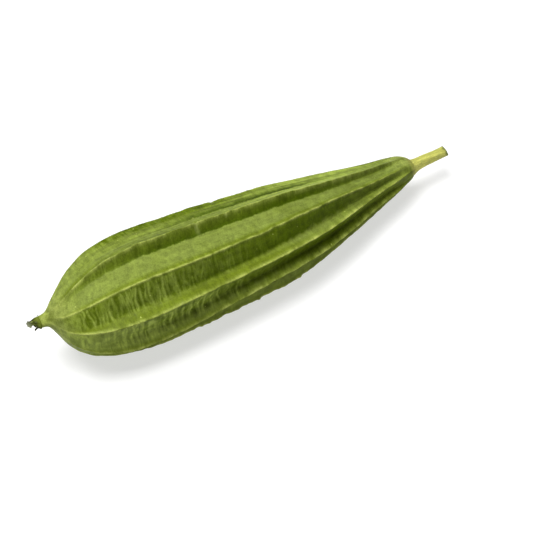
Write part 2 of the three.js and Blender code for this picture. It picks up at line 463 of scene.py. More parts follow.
def round_noise(along, angle, circle, centre, seed):
    """Smooth random field on a tube, the same after a full turn: the angle runs round a circle in it."""
    return value_noise(along, np.cos(angle) * circle + centre, np.sin(angle) * circle + centre, seed)


# ---- Mesh helpers -------------------------------------------------------------------------------

def lay_on_side(points):
    """Turns points of the grown gourd (mm, station along X) so that the stem end lies lower."""
    c, s = math.cos(REST_PITCH), math.sin(REST_PITCH)
    x = points[..., 0] * c + points[..., 2] * s
    z = -points[..., 0] * s + points[..., 2] * c
    return np.stack([x, points[..., 1], z], -1)


def grown_point(station, bow, lift, radius, angle):
    """Points on the gourd from their radius and angle about the centre line, in mm."""
    y = -bow - radius * np.cos(angle)
    z = lift + radius * np.sin(angle)
    return np.stack([np.broadcast_to(station, y.shape), y, z], -1)


def tube_faces(count, around, first):
    """Faces of a closed tube of rings whose vertices start at first, its two end points coming last."""
    index = first + np.arange(count * around).reshape(count, around)
    beside = np.roll(index, -1, axis=1)
    start, end = first + count * around, first + count * around + 1
    quads = np.stack([index[:-1], index[1:], beside[1:], beside[:-1]], -1).reshape(-1, 4)
    faces = quads.tolist()
    faces += [[start, a, b] for a, b in zip(index[0].tolist(), beside[0].tolist())]
    faces += [[end, b, a] for a, b in zip(index[-1].tolist(), beside[-1].tolist())]
    return faces


def tube_mesh(name, tubes):
    """One mesh of closed tubes. Each tube is its rings of points and a dict of values at those points."""
    vertices, faces, values = [], [], {}
    for rings, attributes in tubes:
        count, around = rings.shape[:2]
        first = sum(len(v) for v in vertices)
        faces += tube_faces(count, around, first)
        vertices.append(np.vstack([rings.reshape(-1, 3), rings[0].mean(0), rings[-1].mean(0)]))
        for key, field in attributes.items():
            flat = np.asarray(field, float).reshape(count * around, -1)
            ends = [flat[:around].mean(0), flat[-around:].mean(0)]
            values.setdefault(key, []).append(np.vstack([flat, ends]))
    mesh = bpy.data.meshes.new(name)
    mesh.from_pydata(np.vstack(vertices).tolist(), [], faces)
    for key, parts in values.items():
        flat = np.vstack(parts)
        vector = flat.shape[1] == 3
        data = mesh.attributes.new(key, "FLOAT_VECTOR" if vector else "FLOAT", "POINT").data
        data.foreach_set("vector" if vector else "value", flat.ravel())
    mesh.polygons.foreach_set("use_smooth", [True] * len(mesh.polygons))
    mesh.update()
    return mesh


def add_piece(name, mesh, material, node):
    """Puts a finished piece into the scene in place of its plain solid."""
    piece = bpy.data.objects.new(name, mesh)
    bpy.context.scene.collection.objects.link(piece)
    mesh.materials.append(material)
    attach(piece, "root")
    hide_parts(node)
    return piece


# ---- Material helpers ---------------------------------------------------------------------------

class Nodes:
    """Short calls for building one material's node tree."""

    def __init__(self, name):
        self.material = bpy.data.materials.new(name)
        self.material.use_nodes = True
        self.tree = self.material.node_tree
        self.shader = self.tree.nodes["Principled BSDF"]

    def link(self, source, target):
        self.tree.links.new(source, target)

    def add(self, kind, **settings):
        node = self.tree.nodes.new(kind)
        for key, value in settings.items():
            setattr(node, key, value)
        return node

    def attribute(self, name, output="Fac"):
        return self.add("ShaderNodeAttribute", attribute_name=name).outputs[output]

    def put(self, socket, value):
        if isinstance(value, bpy.types.NodeSocket):
            self.link(value, socket)
        else:
            socket.default_value = value

    def maths(self, operation, a, b=0.0, clamp=False):
        node = self.add("ShaderNodeMath", operation=operation, use_clamp=clamp)
        self.put(node.inputs[0], a)
        self.put(node.inputs[1], b)
        return node.outputs[0]

    def times(self, a, b, clamp=False):
        return self.maths("MULTIPLY", a, b, clamp)

    def one_minus(self, a):
        return self.maths("SUBTRACT", 1.0, a)

    def remap(self, value, low, high, to_low=0.0, to_high=1.0):
        node = self.add("ShaderNodeMapRange", interpolation_type="SMOOTHSTEP")
        self.put(node.inputs["Value"], value)
        limits = {"From Min": low, "From Max": high, "To Min": to_low, "To Max": to_high}
        for key, number in limits.items():
            node.inputs[key].default_value = number
        return node.outputs["Result"]

    def scaled(self, vector, scale):
        node = self.add("ShaderNodeVectorMath", operation="MULTIPLY")
        self.link(vector, node.inputs[0])
        node.inputs[1].default_value = scale
        return node.outputs[0]

    def noise(self, vector, scale, detail=3.0, roughness=0.5):
        node = self.add("ShaderNodeTexNoise")
        self.link(self.scaled(vector, scale), node.inputs["Vector"])
        node.inputs["Scale"].default_value = 1.0
        node.inputs["Detail"].default_value = detail
        node.inputs["Roughness"].default_value = roughness
        return node.outputs["Fac"]

    def mix(self, factor, a, b, blend="MIX"):
        node = self.add("ShaderNodeMix", data_type="RGBA", blend_type=blend)
        self.put(node.inputs["Factor"], factor)
        colours = [s for s in node.inputs if s.type == "RGBA"]
        for socket, value in zip(colours, (a, b)):
            self.put(socket, value if isinstance(value, bpy.types.NodeSocket) else (*value, 1.0))
        return next(s for s in node.outputs if s.type == "RGBA")

    def shaded(self, colour, shade):
        """The colour made lighter or darker by a number."""
        grey = self.add("ShaderNodeCombineColor")
        for channel in ("Red", "Green", "Blue"):
            self.link(shade, grey.inputs[channel])
        return self.mix(1.0, colour, grey.outputs["Color"], "MULTIPLY")

    def specks(self, vector, scale, radius, rarity):
        """Small round spots scattered at random, 1 on a spot and 0 elsewhere."""
        node = self.add("ShaderNodeTexVoronoi")
        self.link(self.scaled(vector, (scale, scale, scale)), node.inputs["Vector"])
        node.inputs["Scale"].default_value = 1.0
        spot = self.remap(node.outputs["Distance"], radius * 0.6, radius, 1.0, 0.0)
        chosen = self.maths("GREATER_THAN", node.outputs["Color"], rarity)
        return self.times(spot, chosen)

    def bump(self, height, strength, distance):
        node = self.add("ShaderNodeBump")
        self.link(height, node.inputs["Height"])
        node.inputs["Strength"].default_value = strength
        node.inputs["Distance"].default_value = distance
        self.link(node.outputs["Normal"], self.shader.inputs["Normal"])


def flank_masks(n, p):
    """Where the upper flanks are deep green with a painted crest shadow, where that painted shade goes
    darker still, and where their foot has painted crease shade.
    """
    # Height above the ragged edge of a valley's floor, in mm where the edge has a softness of 1.
    stray = n.remap(p.ragged, 0.25, 0.75, -EDGE_STRAY, EDGE_STRAY)
    above = n.maths("ADD", n.attribute("across"), stray)
    flank = n.remap(above, -0.8, 0.8)
    deep = n.attribute("deep")
    under = n.times(flank, deep, clamp=True)
    # Painted shade past the deep green where its share is above 1, and painted crease shade at the foot.
    darker = n.times(flank, n.maths("SUBTRACT", deep, 1.0, clamp=True))
    foot = n.times(n.remap(above, 0.2, FOOT_HEIGHT, 1.0, 0.0), flank)
    return under, darker, n.times(foot, n.attribute("groove"))


def streak_mask(n, p):
    """Pale streaks across the flanks, broken and patchy, over a faint haze."""
    line = n.times(n.remap(p.fine, 0.48, 0.60), n.remap(p.broken, 0.34, 0.54))
    line = n.maths("MAXIMUM", n.times(line, 0.7), n.remap(p.wide, 0.50, 0.62, 0.0, 0.6))
    wrinkle = n.times(n.attribute("wrinkle"), n.remap(p.broken, 0.30, 0.50, 0.5, 1.3))
    line = n.times(n.maths("MAXIMUM", line, wrinkle), n.remap(p.patch, 0.34, 0.56, 0.5, 1.0))
    haze = n.remap(p.mottle, 0.36, 0.60, 0.0, 0.18)
    return n.times(n.maths("MAXIMUM", line, haze), n.attribute("streaked"))


def skin_shade(n, p):
    """How much lighter or darker the skin is from place to place, with a painted highlight on one valley.
    """
    mottled = n.remap(p.mottle, 0.30, 0.70, 0.80, 1.18)
    shade = n.times(mottled, n.remap(p.grain, 0.25, 0.75, 0.86, 1.14))
    shade = n.times(shade, n.remap(p.fine, 0.30, 0.70, 0.95, 1.045))
    fibre = n.times(n.remap(p.long, 0.34, 0.62, -0.24, 0.20), n.attribute("silky"))
    # Painted highlight: the top valley made lighter.
    lift = n.times(n.attribute("painted_sheen"), 0.07)
    return n.times(shade, n.maths("ADD", n.maths("ADD", 1.0, fibre), lift))


def skin_material(skin):
    """Waxy ribbed skin: bloom on the valley floors, deep green and painted shade beneath the crests, pale
    crest lines that are partly painted highlights, and a painted highlight on one valley.
    """
    n = Nodes("gourd_skin")
    p = SimpleNamespace()
    for name, (places, *sizes) in SKIN_PATTERNS.items():
        setattr(p, name, n.noise(n.attribute(places, "Vector"), *sizes))
    under, darker, foot = flank_masks(n, p)
    line = streak_mask(n, p)

    # The deep green under each crest: partly the flank's own colour, partly a painted shadow of the
    # crest.
    colour = n.mix(under, skin.upper_colour, skin.flank_shade_colour)
    # Painted shade: the crease's green where the deep green's share goes above 1.
    colour = n.mix(darker, colour, skin.crease_shade_colour)
    # The bloom, with painted light and shade in its amount and a painted reflection in its grey.
    waxy = n.times(n.attribute("bloom"), n.remap(p.patch, 0.30, 0.70, 0.75, 1.15), clamp=True)
    waxy = n.times(n.times(waxy, n.attribute("floor")), n.one_minus(under))
    colour = n.mix(waxy, colour, skin.bloom_colour)
    # Painted highlight: the pale streak colour laid over the top valley.
    painted_sheen = n.times(n.attribute("painted_sheen"), n.remap(p.long, 0.32, 0.56, 0.45, 1.0))
    colour = n.mix(painted_sheen, colour, skin.streak_colour)
    colour = n.mix(line, colour, skin.streak_colour)
    # Painted crease shade at the foot of the flank, thinned where pale streaks cross it.
    foot = n.times(foot, n.one_minus(n.times(line, 0.7)))
    colour = n.mix(foot, colour, skin.crease_shade_colour)
    ends = n.times(n.attribute("ends"), n.remap(p.mottle, 0.35, 0.62, 0.5, 1.0))
    ends = n.times(ends, n.one_minus(n.times(line, 0.6)))
    colour = n.mix(ends, colour, skin.end_colour)
    colour = n.mix(n.times(n.attribute("stalk"), 0.8), colour, skin.stem_fibre_colour)
    colour = n.shaded(colour, skin_shade(n, p))

    # Crest lines, partly pale ridge edges and partly a painted highlight, broken up at random.
    crest_line_breaks = n.times(n.remap(p.mottle, 0.34, 0.58, 0.40, 1.0), n.remap(p.grain, 0.30, 0.60, 0.6, 1.0))
    colour = n.mix(n.times(n.attribute("crest"), crest_line_breaks), colour, skin.crest_colour)
    specks = n.specks(n.attribute("place", "Vector"), scale=0.22, radius=0.10, rarity=0.66)
    colour = n.mix(specks, colour, skin.crest_colour)
    colour = n.mix(n.attribute("scar"), colour, skin.scar_colour)
    n.link(colour, n.shader.inputs["Base Color"])
    n.link(n.remap(waxy, 0.0, 1.0, 0.44, 0.60), n.shader.inputs["Roughness"])
    n.shader.inputs["Specular IOR Level"].default_value = 0.035
    height = n.maths("ADD", n.times(p.grain, 0.5), n.times(p.fine, 0.5))
    n.bump(n.maths("ADD", height, n.times(p.mottle, 1.2)), strength=0.55, distance=0.32 * MM)
    return n.material


def stem_material(skin):
    """Fibrous yellow green stem, greener at its foot and darker at its cut rim."""
    n = Nodes("stem_skin")
    place = n.attribute("place", "Vector")
    fibres = n.noise(place, (0.10, 1.3, 1.3), 4.0, 0.6)
    blotches = n.noise(place, (0.22, 0.4, 0.4), 2.0, 0.5)
    speckle = n.noise(place, (1.6, 1.6, 1.6), 2.0, 0.5)
    colour = n.mix(n.remap(fibres, 0.34, 0.62), skin.stem_fibre_colour, skin.stem_colour)
    colour = n.mix(n.remap(blotches, 0.45, 0.70, 0.0, 0.55), colour, STEM_BLOTCH_COLOUR)
    colour = n.mix(n.attribute("groove"), colour, skin.stem_fibre_colour)
    colour = n.mix(n.times(n.attribute("foot"), 0.75), colour, STEM_FOOT_COLOUR)
    colour = n.mix(n.attribute("cut"), colour, STEM_CUT_COLOUR)
    colour = n.mix(n.attribute("rim"), colour, STEM_RIM_COLOUR)
    colour = n.shaded(colour, n.remap(speckle, 0.3, 0.7, 0.88, 1.10))
    n.link(colour, n.shader.inputs["Base Color"])
    n.shader.inputs["Roughness"].default_value = 0.62
    n.shader.inputs["Specular IOR Level"].default_value = 0.2
    n.bump(fibres, strength=0.6, distance=0.3 * MM)
    return n.material


def flower_material(skin):
    """Dry withered petals, nearly black with olive patches and greyish dry tips."""
    n = Nodes("withered_flower")
    patches = n.noise(n.attribute("place", "Vector"), (0.7, 0.7, 0.7), 4.0, 0.6)
    colour = n.mix(n.remap(patches, 0.42, 0.72), skin.flower_colour, PETAL_OLIVE)
    colour = n.mix(n.attribute("fresh"), colour, PETAL_GREEN)
    colour = n.mix(n.attribute("dry"), colour, PETAL_GREY)
    n.link(colour, n.shader.inputs["Base Color"])
    n.shader.inputs["Roughness"].default_value = 0.8
    n.shader.inputs["Specular IOR Level"].default_value = 0.15
    n.bump(patches, strength=0.7, distance=0.3 * MM)
    return n.material


def plain_paint(name, colour, glow):
    """Matt paint of one colour that gives out white light of its own."""
    paint = Nodes(name)
    inputs = paint.shader.inputs
    inputs["Base Color"].default_value = (*colour, 1)
    inputs["Roughness"].default_value = 0.9
    inputs["Specular IOR Level"].default_value = 0.0
    inputs["Emission Color"].default_value = (1, 1, 1, 1)
    inputs["Emission Strength"].default_value = glow
    return paint.material


# ---- Fruit --------------------------------------------------------------------------------------

def stretch(station, feature):
    """How much of a feature of the fruit there is at each station, from 0 to 1."""
    stations = STRETCHES[feature]
    return window(station, *stations) if len(stations) == 4 else smoothstep(station, *stations)


def crest_noise(station, ridge, layers, apart=3.7):
    """Random ups and downs along each ridge, from layers of a spacing in mm, a strength and a seed.

    In the noise, each ridge lies apart from the one before it, so that no two are alike.
    """
    return sum(
        strength * value_noise(station / spacing, 0.5, ridge * apart, seed)
        for spacing, strength, seed in layers)


def crest_angles(station, twist):
    """Angle of every crest at each station, with the first one again, a full turn on, in radians."""
    along = station[:, None] / FRUIT_LENGTH
    start, sway, phase, bend = np.radians(np.array(RIDGE_ROWS, float)[:, :4]).T
    angle = start + twist * (along - 0.5) + sway * np.sin(2 * np.pi * along + phase)
    angle = angle + bend * smoothstep(along, *RIDGES_BEND)
    return np.concatenate([angle, angle[:, :1] + 2 * np.pi], axis=1)


def valley_depth(station, shape):
    """The valleys start beyond the nipple and die out in a smooth shoulder before the stem."""
    deepened = (shape.valley_depth_stem - shape.valley_depth) * smoothstep(station, *VALLEYS_DEEPEN)
    rise = smoothstep(station, *VALLEYS_RISE) ** 0.8
    return (shape.valley_depth + deepened) * rise * (1 - smoothstep(station, *VALLEYS_FADE))


def gourd_place(shape):
    """How far the laid gourd moves, in mm, to lie where the frame's gourd lies."""
    rows = even_rows(FRUIT_ROWS, PLACING_RINGS)
    station, radius, bow, lift = (c[:, None] for c in rows.T)
    angle = crest_angles(rows[:, 0], shape.twist)
    low = lay_on_side(grown_point(station, bow, lift, radius, angle)).reshape(-1, 3).min(0)
    corner = np.array(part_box("fruit")[0]) / MM
    return np.array([corner[0] - low[0], corner[1] - low[1], -low[2] - shape.rest_press / MM])


class FruitGrid:
    """Where each point of the fruit lies among its ridges, before any relief.

    Every array has a value for each ring, each ridge and each step toward the next ridge, or
    spreads to that. Lengths are in mm and angles in radians.
    """

    def __init__(self, shape):
        rows = even_rows(FRUIT_ROWS, shape.rings)
        self.station, self.radius, self.bow, self.lift = (c[:, None, None] for c in rows.T)
        self.ridges = len(RIDGE_ROWS)
        self.number = np.arange(self.ridges)[None, :, None]
        valleys = {key: np.array(row, float)[None, :, None] for key, row in VALLEYS.items()}
        self.valley = SimpleNamespace(**valleys)
        self.lean = np.where(self.valley.streaks < LEAN_CHANGE, LEAN_SMOOTH, LEAN_STREAKY)
        self.ridged = stretch(self.station, "ridges")

        # The steps crowd together at the crests.
        half = 0.5 * (np.arange(shape.steps_per_side + 1) / shape.steps_per_side) ** CROWDING
        share = np.concatenate([half, 1 - half[-2:0:-1]])
        crests = self.crests(shape)
        span = np.diff(crests, axis=1)[:, :, None]
        self.angle = crests[:, :-1, None] + span * share
        self.width = span * self.radius

        # The nearest ridge, and how far each point lies to the side of its crest.
        self.nearest = np.where(share < 0.5, self.number, (self.number + 1) % self.ridges)
        self.arc = np.where(share < 0.5, share, share - 1) * self.width

        # Share of the way from the valley's lower crest to its upper one, and height above its crease.
        middle = (crests[:, :-1] + crests[:, 1:])[:, :, None] / 2
        self.up = np.where(np.cos(middle - FRONT_ANGLE) > 0, share, 1 - share)
        self.above = (self.up - self.valley.crease) * self.width

        self.facing_up = window(self.angle, *FACING_UP)
        self.toward_stem = stretch(self.station, "stem_end")

    def crests(self, shape):
        """Angle of every crest on each ring, wandering a little to either side."""
        wobble = crest_noise(self.station, self.number, CREST_SWAY)
        wobble = (wobble * shape.crest_wobble / MM / self.radius * self.ridged)[:, :, 0]
        steady = crest_angles(self.station[:, 0, 0], shape.twist)
        return steady + np.concatenate([wobble, wobble[:, :1]], axis=1)

    def ragged_station(self, reach, spacing, turns, seed):
        """Stations shifted at random by up to a reach, for the ragged borders of the two ends."""
        return self.station + reach * value_noise(self.station / spacing, self.angle * turns, 0.5, seed)


def valley_relief(grid, shape):
    """How far each point is sunk in its valley, as a share of the crest radius."""
    crease = grid.valley.crease
    from_crest = np.where(grid.up > crease, (1 - grid.up) / (1 - crease), grid.up / crease)
    blunt = np.minimum(np.sqrt(from_crest**2 + BLUNTNESS**2) - BLUNTNESS, 1)
    depth = grid.valley.depth * valley_depth(grid.station, shape)
    return depth * (1 - (1 - blunt) ** shape.valley_power)


def crest_relief(grid, shape):
    """Height of the beads on the crests in mm, and from 0 to 1 their line and their scars."""
    width = shape.crest_width / MM
    crest_line = np.exp(-(grid.arc / width) ** 2)
    broad = np.exp(-(grid.arc / (JAG_BREADTH * width)) ** 2)
    jagged = crest_noise(grid.station, grid.nearest, CREST_JAGS) * broad
    jagged = jagged * (0.30 + 0.70 * stretch(grid.station, "jagged_crests"))
    jag = np.array(RIDGE_ROWS, float)[:, 4]
    bead = grid.ridged * (shape.crest_height / MM * crest_line + jag[grid.nearest] * jagged)

    scar = np.zeros_like(grid.angle)
    for ridge, at, length, cut, reach in CREST_SCARS:
        near = np.exp(-((grid.station - at) / (length / 2)) ** 2 - (grid.arc / reach) ** 2)
        near = near * (grid.nearest == ridge)
        scar = np.maximum(scar, near)
        bead = bead - cut * near
    crumbly = value_noise(grid.station / 0.9, grid.arc / 0.9 + 30, grid.number * 2.3, 15)
    return bead, crest_line, 0.8 * scar * smoothstep(crumbly, -0.6, 0.5)


def wrinkle_field(station, up, width, slant, spacing, coarse, seed):
    """Transverse wrinkles on one valley, from 0 to 1: uneven in place, length, thickness and strength.

    Coarse ones (above 1) are wider, further apart and longer.
    """
    rng = np.random.default_rng(seed)
    field = np.zeros(np.broadcast(station, up).shape)
    place, last = WRINKLED
    while place < last:
        lean = slant + rng.uniform(-0.12, 0.12)
        wave = rng.uniform(0.2, 0.9) * np.sin(up * rng.uniform(4, 11) + 3 * place)
        centre = place + lean * (up - 0.6) * width + wave
        half = rng.uniform(0.45, 0.85) * coarse
        low, high = rng.uniform(0.02, 0.45) / coarse**3, rng.uniform(0.85, 1.04)
        body = window(up, low - 0.14, low + 0.14, high - 0.10, high + 0.03)
        line = rng.uniform(0.3, 1.0) * body * np.exp(-((station - centre) / half) ** 2)
        field = np.maximum(field, line)
        place += rng.uniform(0.3, 1.7) * spacing * coarse
    return field


def wrinkles(grid, shape):
    """The wrinkles of every valley, strongest toward the flower."""
    station, valley = grid.station, grid.valley
    field = np.zeros_like(grid.angle)
    for v in range(grid.ridges):
        slant, coarse = grid.lean[0, v, 0], valley.coarse[0, v, 0]
        field[:, v] = wrinkle_field(
            station[:, :, 0], grid.up[:, v], grid.width[:, v], slant,
            shape.wrinkle_spacing / MM, coarse, WRINKLE_SEED + v)
    milder = 1.4 - 0.4 * stretch(station, "milder_wrinkles")
    lower = 1 - 0.7 * stretch(station, "lower_wrinkles")
    return field * valley.streaks * stretch(station, "wrinkles") * milder * lower


def lumps(grid):
    """Broad unevenness of the whole fruit, from -1 to 1."""
    return round_noise(grid.station / 22, grid.angle, 1.6, 8, 31) * stretch(grid.station, "lumps")


def flank_fields(grid):
    """The upper flanks: where they start, how deep their green and painted shade are, and how much
    painted shade lies at their foot.
    """
    station, valley = grid.station, grid.valley
    rise = valley.rise * stretch(station, "edge_rises")
    across = (grid.above + valley.edge_drop - rise) / valley.softness / (1 + 0.4 * rise)
    deep = valley.deep * smoothstep(station, 0.45 * valley.deep_by - 14, valley.deep_by)
    # The deep green and its painted shade fade toward the stem, more on the side facing down.
    fade = (0.35 + 0.40 * (1 - grid.facing_up)) * stretch(station, "deep_green_fades")
    # Painted shade just under the upper crest of one valley.
    brow = valley.brow * smoothstep(grid.up, 0.68, 0.88) * stretch(station, "brow")
    # Painted crease shade at the foot, setting in later in streaky and silky valleys and fading toward
    # the stem.
    lag = 45 * valley.streaks + 22 * smoothstep(valley.silky, 0.5, 1)
    groove = valley.foot * stretch(station - lag, "foot") * (1 - stretch(station, "foot_fades"))
    return {"across": across, "deep": deep * (1 - fade) + brow, "groove": groove}


def floor_fields(grid):
    """The valley floors: how far they reach, their waxy bloom with painted light and shade in it, the
    silk on some, and a painted highlight on one.
    """
    station, valley, facing_up = grid.station, grid.valley, grid.facing_up
    carried = valley.streaks_below
    spread = valley.spread * stretch(station, "bloom_spreads")
    edge = 0.10 - 0.08 * carried - 0.12 * spread, 0.35 - 0.20 * carried - 0.25 * spread
    waxy = valley.bloom + 0.5 * spread
    # More bloom toward the flower end and on the top by the stem: painted light.
    near_ends = np.maximum(1 - 0.8 * valley.streaks, 0) * (1 - stretch(station, "past_flower_end"))
    near_ends = near_ends + waxy * np.maximum(facing_up, 0.6 - 0.6 * carried) * grid.toward_stem
    bloom = waxy + (0.95 - waxy) * 0.8 * near_ends
    # Less bloom on the downward side by the stem: painted shade.
    shade_on_underside = (0.45 + 0.4 * carried) * grid.toward_stem * (1 - facing_up)
    # Painted highlight on the top valley, fading toward the stem.
    painted_sheen = smoothstep(valley.silky, 0.5, 1.0) * stretch(station, "painted_sheen")
    return {
        "floor": smoothstep(grid.up, *edge),
        "bloom": bloom * stretch(station, "bloom") * (1 - shade_on_underside),
        "silky": np.minimum(valley.silky * stretch(station, "silk") + 0.4 * grid.toward_stem, 1),
        "painted_sheen": painted_sheen * (1 - 0.8 * stretch(station, "sheen_fades")),
    }


def streak_field(grid):
    """Share of pale streaks across the valleys, none of them on the crests."""
    station, carried = grid.station, grid.valley.streaks_below
    fewer = 1 - 0.45 * stretch(station, "fewer_streaks")
    streaked = grid.valley.streaks * fewer * (1 - 0.85 * stretch(station, "last_streaks"))
    streaked = streaked * (carried + (1 - carried) * smoothstep(grid.above, -3.0, 0.5))
    return streaked * smoothstep(1 - grid.up, 0.01, 0.08) * smoothstep(grid.up, 0.02, 0.15)


def end_fields(grid):
    """The yellowish nipple and shoulder, the shoulder painted lighter where it faces up, and the stalk's
    own colour round its seat.
    """
    tip = 1 - smoothstep(grid.ragged_station(2, 3, 3, 64), 4, 28 - 12 * grid.valley.streaks)
    shoulder = stretch(grid.ragged_station(3, 4, 2, 65), "shoulder")
    # The shoulder's yellow lies mostly on its top: painted light.
    ends = 0.8 * tip + 0.75 * shoulder * (0.1 + 0.9 * grid.facing_up)
    return {
        "ends": np.clip(ends, 0, 1),
        "stalk": stretch(grid.ragged_station(1.2, 2, 3, 67), "stalk"),
    }


def pattern_places(grid):
    """Coordinates for the skin's patterns, in mm.

    They are the true place, the place on an even cylinder, and the place in a valley laid flat, where
    each valley has a strip of its own.
    """
    along = np.broadcast_to(grid.station, grid.angle.shape)
    cosine, sine = np.cos(grid.angle), np.sin(grid.angle)
    flat = [grid.station - grid.lean * grid.above, grid.above, STRIP_GAP * grid.number + 0 * grid.angle]
    return {
        "place": np.stack([along, grid.radius * cosine, grid.radius * sine], -1),
        "around_axis": np.stack([along, EVEN_RADIUS * cosine, EVEN_RADIUS * sine], -1),
        "fanned": np.stack(flat, -1),
    }


def fruit_mesh(shape):
    """The whole fruit as one closed surface, with its relief as real shape."""
    grid = FruitGrid(shape)
    bead, crest_line, scar = crest_relief(grid, shape)
    wrinkle = wrinkles(grid, shape)
    total = grid.radius * (1 - valley_relief(grid, shape)) + bead
    total = total + wrinkle * shape.wrinkle_height / MM + lumps(grid) * shape.lump_height / MM
    points = grown_point(grid.station, grid.bow, grid.lift, total, grid.angle)
    points = lay_on_side(points) + gourd_place(shape)
    points[..., 2] = np.maximum(points[..., 2], 0)

    # The crest line, partly a painted highlight: paler on some ridges, broken by gaps and fading toward
    # the stem.
    pale = np.array(RIDGE_ROWS, float)[:, 5][grid.nearest]
    gaps = np.clip(0.75 + crest_noise(grid.station, grid.nearest, CREST_GAPS, 5.1), 0.15, 1.3)
    pale = pale * gaps * (1 - 0.5 * stretch(grid.station, "crest_lines_fade"))
    fields = {
        "crest": crest_line * grid.ridged * pale,
        "scar": scar,
        "wrinkle": wrinkle,
        "streaked": streak_field(grid),
        **flank_fields(grid),
        **floor_fields(grid),
        **end_fields(grid),
    }
    rings = grid.angle.shape[0]
    attributes = {k: np.broadcast_to(v, grid.angle.shape).reshape(rings, -1) for k, v in fields.items()}
    for key, vectors in pattern_places(grid).items():
        attributes[key] = vectors.reshape(rings, -1, 3)
    return tube_mesh("fruit_skin", [(points.reshape(rings, -1, 3) * MM, attributes)])


# ---- Stem ---------------------------------------------------------------------------------------

def stem_cut(rim):
    """Rings that close the stem with a cut face, sunk a little toward its middle."""
    middle = rim.mean(0)
    rings = []
    for share in STEM_CUT_RINGS:
        ring = middle + (rim - middle) * share
        ring[:, 0] += 0.12 * (share > 0.9) - 0.55 * smoothstep(1 - share, 0.05, 0.6)
        ring[:, 0] += 0.10 * value_noise(ring[:, 1] * 1.4, ring[:, 2] * 1.4, 0.5, 43)
        rings.append(ring)
    return np.array(rings)


def stem_mesh(shape):
    """Ribbed stalk with a flared foot in the shoulder and a slanting cut end."""
    rows = even_rows(STEM_ROWS, STEM_RINGS)
    station, radius, bow, lift = (c[:, None] for c in rows.T)
    angle = np.linspace(0, 2 * np.pi, STEM_AROUND, endpoint=False)[None, :]
    ribs = 0.5 - 0.5 * np.cos(STEM_RIBS * (angle + STEM_TWIST * station))
    rough = round_noise(station / 4, angle, 1.5, 5, 41)
    fibres = round_noise(station / 14, angle, 7, 9, 42)
    total = radius * (1 - STEM_RIB_DEPTH * ribs) + 0.14 * rough + 0.10 * fibres
    side = grown_point(station, bow, lift, total, angle)
    toward_end = smoothstep(station / STEM_LENGTH, 0.6, 1.0)
    side[..., 0] -= STEM_CUT_SLOPE * (side[..., 2] - lift) * toward_end
    points = np.concatenate([side, stem_cut(side[-1])])

    foot = 0.4 - 0.4 * smoothstep(station + rough, -0.5, 2.5)
    edge = 0.8 * smoothstep(station + 0.6 * fibres, STEM_LENGTH - 2.4, STEM_LENGTH)
    cut_edge = smoothstep(np.array(STEM_CUT_RINGS)[:, None], 0.80, 0.97)
    blank = np.zeros((len(STEM_CUT_RINGS), STEM_AROUND))
    attributes = {
        "place": points,
        "groove": np.vstack([0.55 * ribs**2, blank]),
        "foot": np.vstack([foot, blank]),
        "cut": np.vstack([np.zeros_like(ribs), blank + 1]),
        "rim": np.vstack([edge, blank + cut_edge]),
    }
    seated = points + [FRUIT_LENGTH + JOIN_GAP, 0, 0]
    rings = (lay_on_side(seated) + gourd_place(shape)) * MM
    return tube_mesh("gourd_stem", [(rings, attributes)])


# ---- Withered flower ----------------------------------------------------------------------------

def flower_place(points, shape):
    """Sets points about the nipple's axis (station outward, then -Y and Z) where the nipple ends."""
    lift = NIPPLE_LIFT + NIPPLE_SLOPE * points[..., 0]
    grown = np.stack([-JOIN_GAP - points[..., 0], -points[..., 1], lift + points[..., 2]], -1)
    return (lay_on_side(grown) + gourd_place(shape)) * MM


def cup_tube(shape):
    """The crumpled cup that the petals shrivelled from."""
    rows = even_rows(CUP_ROWS, CUP_RINGS)
    station, radius = rows[:, :1], rows[:, 1:2]
    angle = np.linspace(0, -2 * np.pi, CUP_AROUND, endpoint=False)[None, :]
    folds = round_noise(station / 2.5, angle, 2.2, 7, 71)
    fine = round_noise(station / 1.0, angle, 5, 9, 72)
    total = radius * (1 + 0.20 * folds * smoothstep(station, -0.6, 1.2)) + 0.22 * fine
    along = np.broadcast_to(station, total.shape)
    flat = np.stack([along, total * np.cos(angle), total * np.sin(angle)], -1)
    attributes = {
        "place": flat,
        "fresh": 0.8 * (1 - smoothstep(station + folds - 1.2 * np.sin(angle), -0.4, 3.4)),
        "dry": 0.4 * smoothstep(folds, 0.3, 0.9),
    }
    return flower_place(flat, shape), attributes


def petal_half_width(t, wide, bleached, number):
    """Half the width of a petal along it. A bleached one is pinched midway and spreads beyond."""
    half = 0.5 * wide * (0.55 + 0.45 * np.sin(np.pi * np.clip(t * 1.15, 0, 1)))
    half = half * (1 - 0.45 * smoothstep(t, 0.8, 1))
    half = half * (1 - 0.5 * bleached * np.exp(-((t - 0.5) / 0.2) ** 2))
    half = half * (1 + 1.2 * bleached * smoothstep(t, 0.6, 0.85))
    return half * (1 + 0.25 * value_noise(t * 7, number * 2.1, 0.5, 75))


